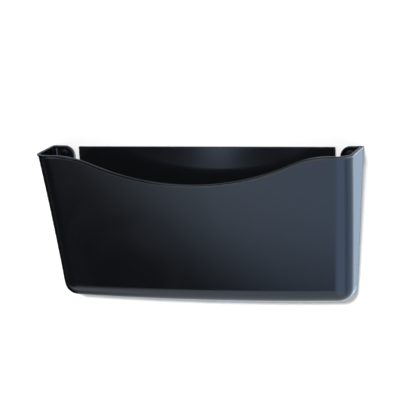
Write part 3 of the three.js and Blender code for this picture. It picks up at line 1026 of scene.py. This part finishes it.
# %% Grey nylon
def moulded_grey_nylon():
    material, tree = new_material("moulded_grey_nylon")
    place = node(tree, "ShaderNodeTexCoord").outputs["Object"]
    cloud = node(tree, "ShaderNodeTexNoise", {
        "Vector": place, "Scale": per_metre(5), "Detail": 4.0, "Roughness": 0.55, "Distortion": 0.6,
    })
    colour = node(tree, "ShaderNodeMix", {
        "Factor": cloud.outputs["Fac"], "A": linear("#9c9e9b"), "B": linear("#b4b6b2"),
    }, data_type="RGBA")
    rough = node(tree, "ShaderNodeMapRange", {
        "Value": cloud.outputs["Fac"], "From Min": 0.3, "From Max": 0.7, "To Min": 0.5, "To Max": 0.6,
    })
    bump = node(tree, "ShaderNodeBump", {
        "Height": cloud.outputs["Fac"], "Strength": 0.1, "Distance": 0.05 * MM,
    })
    shader = node(tree, "ShaderNodeBsdfPrincipled", {
        "Base Color": colour.outputs["Result"], "Roughness": rough.outputs["Result"],
        "Normal": bump.outputs["Normal"], "IOR": 1.53, "Subsurface Weight": 0.15,
        "Subsurface Radius": (0.8 * MM, 0.8 * MM, 0.7 * MM), "Subsurface Scale": 1.0,
    })
    node(tree, "ShaderNodeOutputMaterial", {"Surface": shader.outputs["BSDF"]})
    return material


# %% Dress the pieces
finish_of = {
    "moulded": moulded_black_polystyrene(),
    "wall_screw": black_oxide_steel(),
    "wall_plug": moulded_grey_nylon(),
}
for piece in [moulding] + fixings:
    piece.data.materials.clear()
    for start, material in finish_of.items():
        if piece.name.startswith(start):
            piece.data.materials.append(material)
            print(piece.name, "is", material.name)

# %% [markdown]
# ## Wall, floor and light
# The tray hangs against a white wall, and a soft lamp in front of it, above and to the left of the
# camera, lays a narrow shadow round it. Only the camera sees the wall, and only from the front, so
# the back of the tray can be looked at too. The floor is pale and lies well below.

# %% Wall and floor
wall_gap = 1 * MM
floor_level = -420 * MM
stage_reach = 6.0  # metres, to each side and upwards
ambient = 0.5  # grey of the soft light


def stage_plane(name, points):
    """A plane of four corners that isn't part of the object."""
    mesh = bpy.data.meshes.new(name)
    mesh.from_pydata(points, [], [(0, 1, 2, 3)])
    plane = bpy.data.objects.new(name, mesh)
    bpy.context.scene.collection.objects.link(plane)
    plane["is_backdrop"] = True
    return plane


r = stage_reach
pale_floor = stage_plane("pale_floor", [(-r, -r, floor_level), (r, -r, floor_level), (r, r, floor_level),
                                        (-r, r, floor_level)])
white_wall = stage_plane("white_wall", [(-r, wall_gap, floor_level), (r, wall_gap, floor_level),
                                        (r, wall_gap, r), (-r, wall_gap, r)])


def paper_colour(tree, low, high):
    """Pulp clouds a paper's white very slightly, over a few millimetres."""
    place = node(tree, "ShaderNodeTexCoord").outputs["Object"]
    pulp = node(tree, "ShaderNodeTexNoise", {"Vector": place, "Scale": per_metre(4), "Detail": 3.0})
    return node(tree, "ShaderNodeMix", {
        "Factor": pulp.outputs["Fac"], "A": linear(low), "B": linear(high),
    }, data_type="RGBA").outputs["Result"]


def matt_white_wall():
    """Paint for camera rays that meet the wall's front, and nothing for every other ray."""
    material, tree = new_material("matt_white_wall")
    camera_ray = node(tree, "ShaderNodeLightPath").outputs["Is Camera Ray"]
    behind = node(tree, "ShaderNodeNewGeometry").outputs["Backfacing"]
    seen = node(tree, "ShaderNodeMath", {0: camera_ray, 1: behind}, operation="SUBTRACT", use_clamp=True)
    paint = node(tree, "ShaderNodeBsdfDiffuse", {"Color": paper_colour(tree, "#fbfbfb", "#fefefe")})
    clear = node(tree, "ShaderNodeBsdfTransparent")
    mixed = node(tree, "ShaderNodeMixShader", {
        "Fac": seen.outputs["Value"], 1: clear.outputs["BSDF"], 2: paint.outputs["BSDF"],
    })
    node(tree, "ShaderNodeOutputMaterial", {"Surface": mixed.outputs["Shader"]})
    return material


def matt_pale_floor():
    """Paper, lifted towards white for the camera alone. Glossy rays pass it to the surround, and
    so does everything that comes from below."""
    material, tree = new_material("matt_pale_floor")
    path = node(tree, "ShaderNodeLightPath")
    below = node(tree, "ShaderNodeNewGeometry").outputs["Backfacing"]
    unseen = node(tree, "ShaderNodeMath", {0: path.outputs["Is Glossy Ray"], 1: below}, operation="MAXIMUM")
    paper = node(tree, "ShaderNodeBsdfDiffuse", {"Color": paper_colour(tree, "#f0f0f0", "#f6f6f6")})
    lift = node(tree, "ShaderNodeMath", {0: path.outputs["Is Camera Ray"], 1: 0.4}, operation="MULTIPLY")
    glow = node(tree, "ShaderNodeEmission", {"Strength": lift.outputs["Value"]})
    lifted = node(tree, "ShaderNodeAddShader", {0: paper.outputs["BSDF"], 1: glow.outputs["Emission"]})
    clear = node(tree, "ShaderNodeBsdfTransparent")
    mixed = node(tree, "ShaderNodeMixShader", {
        "Fac": unseen.outputs["Value"], 1: lifted.outputs["Shader"], 2: clear.outputs["BSDF"],
    })
    node(tree, "ShaderNodeOutputMaterial", {"Surface": mixed.outputs["Shader"]})
    return material


white_wall.data.materials.append(matt_white_wall())
pale_floor.data.materials.append(matt_pale_floor())
print("the floor lies", round((shell_low.z - floor_level) / MM), "mm under the tray")

# %% [markdown]
# ### The surround
# A nearly black glossy piece shows little of its own colour. What the eye sees on it is mostly
# the room, so the room is drawn with care, as soft-edged cards of light and dark. The lower room
# is pale, with a large dark card at the front left and a narrow bright pane low in front. The
# upper room has pale cards in front, at the right, overhead and behind. A card's soft edge makes
# the fall of tone on the tray. Rays that aren't reflections get one tone from all sides: white
# for the camera, and a middle grey for the soft light.

# %% Directions and cards
world = bpy.data.worlds.new("studio")
bpy.context.scene.world = world
world.use_nodes = True
world.cycles.sampling_method = "NONE"
tree = world.node_tree
tree.nodes.clear()
heading = node(tree, "ShaderNodeTexCoord").outputs["Generated"]


def direction(azimuth, elevation):
    """Unit vector (sin a cos e, -cos a cos e, sin e): azimuth 0 faces the tray's front."""
    a, e = math.radians(azimuth), math.radians(elevation)
    return Vector((math.sin(a) * math.cos(e), -math.cos(a) * math.cos(e), math.sin(e)))


def card(azimuth, elevation, inner, outer, ray=heading):
    """1 within the inner angle of a direction, and 0 outside the outer angle: a smooth step of
    the cosine of the angle between the ray and that direction."""
    facing = node(tree, "ShaderNodeVectorMath", {0: ray, 1: direction(azimuth, elevation)},
                  operation="DOT_PRODUCT")
    return node(tree, "ShaderNodeMapRange", {
        "Value": facing.outputs["Value"], "From Min": math.cos(math.radians(outer)),
        "From Max": math.cos(math.radians(inner)),
    }, interpolation_type="SMOOTHSTEP").outputs["Result"]


def over(part, start, stop):
    """A smooth step of one part of the ray's direction: 0 at start, 1 at stop."""
    return node(tree, "ShaderNodeMapRange", {"Value": part, "From Min": start, "From Max": stop},
                interpolation_type="SMOOTHSTEP").outputs["Result"]


def both(first, second):
    """Where two shares hold together: their product."""
    return node(tree, "ShaderNodeMath", {0: first, 1: second}, operation="MULTIPLY").outputs["Value"]


def lit(room, share, strength):
    """A room with a light in it: room + share times strength."""
    return node(tree, "ShaderNodeMath", {0: share, 1: strength, 2: room},
                operation="MULTIPLY_ADD").outputs["Value"]


def shaded(room, share, depth=1.0):
    """A room behind something dark: room times (1 - share times depth)."""
    return both(room, lit(1.0, share, -depth))


# %% Lower room
room_level = 1.13
lowest = -0.52  # upward part of the lowest ray that the two dark cards tell apart
parts = node(tree, "ShaderNodeSeparateXYZ", {"Vector": heading}).outputs
rightward, backward_part, upward = parts["X"], parts["Y"], parts["Z"]
level_ray = node(tree, "ShaderNodeVectorMath", {0: heading, 1: (-1.0, -1.0, lowest)},
                 operation="MAXIMUM").outputs["Vector"]
level_ray = node(tree, "ShaderNodeVectorMath", {0: level_ray}, operation="NORMALIZE").outputs["Vector"]

dark_cards = {  # azimuth, elevation, inner and outer angle, depth of the dark
    "front left": (-48.2, 5.3, 41.7, 44.7, 1.0),
    "its lower right": (-16.0, -18.4, 0.0, 13.0, 0.97),
}
rear_strength = 0.18
low_room = 1.0
for *place, depth in dark_cards.values():
    low_room = shaded(low_room, card(*place, level_ray), depth)
floor_share = over(upward, lowest, -0.85)
low_room = node(tree, "ShaderNodeMix", {"Factor": floor_share, "A": low_room, "B": 1.0}).outputs["Result"]
low_room = lit(both(low_room, room_level), over(backward_part, 0.5, 0.9), rear_strength)
low_room = shaded(low_room, both(over(rightward, -0.29, -0.45), over(backward_part, -0.4, 0.0)))

low_cards = {  # azimuth, elevation, inner and outer angle, strength
    "floor at the front right": (34.0, -36.0, 8.0, 40.0, 0.36),
    "right": (90.0, 0.0, 12.0, 26.0, 0.9),
    "darker patch below it": (76.0, -30.0, 5.0, 19.0, -0.22),
}
for *place, strength in low_cards.values():
    low_room = lit(low_room, card(*place), strength)

# %% Pane
pane_azimuth = -16.9
pane_reach = 0.032  # sine of the angle to each side at which it ends
pane_foot, pane_full = -0.172, -0.15  # upward parts where it starts and where it is full
pane_strength = 4.2
pane_side = node(tree, "ShaderNodeVectorMath", {0: heading, 1: direction(90 + pane_azimuth, 0)},
                 operation="DOT_PRODUCT").outputs["Value"]
pane_side = node(tree, "ShaderNodeMath", {0: pane_side}, operation="ABSOLUTE").outputs["Value"]
pane = both(over(pane_side, pane_reach, 0.0), over(upward, pane_foot, pane_full))
low_room = lit(low_room, pane, pane_strength)
print("the pane is", round(2 * math.degrees(math.asin(pane_reach)), 1), "degrees wide")

# %% Upper room
high_cards = {  # azimuth, elevation, inner and outer angle, strength
    "front": (-28.0, 25.0, 30.0, 70.0, 0.8),
    "right": (90.0, 5.0, 40.0, 80.0, 0.9),
    "overhead": (0.0, 90.0, 10.0, 55.0, 0.6),
    "high behind": (-125.0, 42.0, 8.0, 28.0, 1.0),
    "low behind": (-164.5, 12.0, 3.0, 12.0, 0.2),
}
high_room = both(over(backward_part, 0.0, 0.6), 0.2)
for *place, strength in high_cards.values():
    high_room = lit(high_room, card(*place), strength)
above = over(upward, -0.03, 0.1)
light = node(tree, "ShaderNodeMix", {"Factor": above, "A": low_room, "B": high_room}).outputs["Result"]
print(len(dark_cards), "dark cards and", len(low_cards) + len(high_cards), "others in the surround")

# %% Tints of the reflections
past_left = node(tree, "ShaderNodeMapRange", {
    "Value": rightward, "From Min": -0.37, "From Max": -0.18,
}).outputs["Result"]
tint = (0.86, 1.0, 1.18, 1.0)
tints = (
    (past_left, (0.68, 1.02, 1.6, 1.0)),
    (over(backward_part, 0.0, 0.8), (0.78, 1.0, 1.27, 1.0)),
    (floor_share, (0.9, 1.0, 1.13, 1.0)),
    (both(above, over(rightward, -0.38, -0.22)), (0.95, 1.0, 1.06, 1.0)),
)
for share, toned in tints:
    tint = node(tree, "ShaderNodeMix", {"Factor": share, "A": tint, "B": toned},
                data_type="RGBA").outputs["Result"]
mirrored_room = node(tree, "ShaderNodeVectorMath", {0: tint, "Scale": light}, operation="SCALE")
path = node(tree, "ShaderNodeLightPath")
plain = node(tree, "ShaderNodeMapRange", {
    "Value": path.outputs["Is Camera Ray"], "To Min": ambient, "To Max": 1.0,
})
colour = node(tree, "ShaderNodeMix", {
    "Factor": path.outputs["Is Glossy Ray"], "A": plain.outputs["Result"],
    "B": mirrored_room.outputs["Vector"],
}, data_type="RGBA")
background = node(tree, "ShaderNodeBackground", {"Color": colour.outputs["Result"], "Strength": 1.0})
node(tree, "ShaderNodeOutputWorld", {"Surface": background.outputs["Background"]})

# %% [markdown]
# ### Lamp and camera
# One soft lamp is the studio's light. Reflections don't show it, because the surround holds all
# that the gloss mirrors. The camera stands to the right and a little above, with a long lens, and
# it is rolled, because the pocket stands turned in the picture and hangs level in the room.

# %% Lamp
lamp_from = direction(-2, 21)
lamp_strength = 0.72
lamp = bpy.data.objects.new("soft_lamp", bpy.data.lights.new("soft_lamp", "SUN"))
bpy.context.scene.collection.objects.link(lamp)
lamp.data.energy = lamp_strength * math.pi
lamp.data.angle = math.radians(8)
lamp.rotation_euler = lamp_from.to_track_quat("Z", "Y").to_euler()
lamp.visible_glossy = False
print("lamp from", [round(c, 2) for c in lamp_from])

# %% Camera
camera_azimuth, camera_elevation = 18.53, 11.03  # degrees
azimuth, roll = math.radians(camera_azimuth), math.radians(-3.0)
photo_pixels = 400
focal_pixels = 1931.5
distance = 2162.3 * MM
aim = Vector((3.85, -38.0, -46.9)) * MM

camera = bpy.data.objects.new("camera", bpy.data.cameras.new("camera"))
bpy.context.scene.collection.objects.link(camera)
bpy.context.scene.camera = camera
backward = direction(camera_azimuth, camera_elevation)
level_right = Vector((math.cos(azimuth), math.sin(azimuth), 0))
level_up = backward.cross(level_right)
right = math.cos(roll) * level_right + math.sin(roll) * level_up
up = math.cos(roll) * level_up - math.sin(roll) * level_right
camera.matrix_world = Matrix((right, up, backward)).transposed().to_4x4()
camera.location = aim + backward * distance
camera.data.sensor_width = 36
camera.data.lens = focal_pixels / photo_pixels * camera.data.sensor_width
camera.data.clip_end = 20
print("camera at", [round(c, 2) for c in camera.location], "m with a", round(camera.data.lens), "mm lens")

bpy.context.scene.view_settings.view_transform = "Standard"

# %% [markdown]
# ## Measure and finish
# The fine surfaces must stay inside the CAD model's box, so both boxes are written down.

# %% Finish
boxes = {"cad": cad_box, "visual": [list(corner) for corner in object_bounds()]}
for name, (low, high) in boxes.items():
    print(name, [round((b - a) / MM, 2) for a, b in zip(low, high)], "mm")
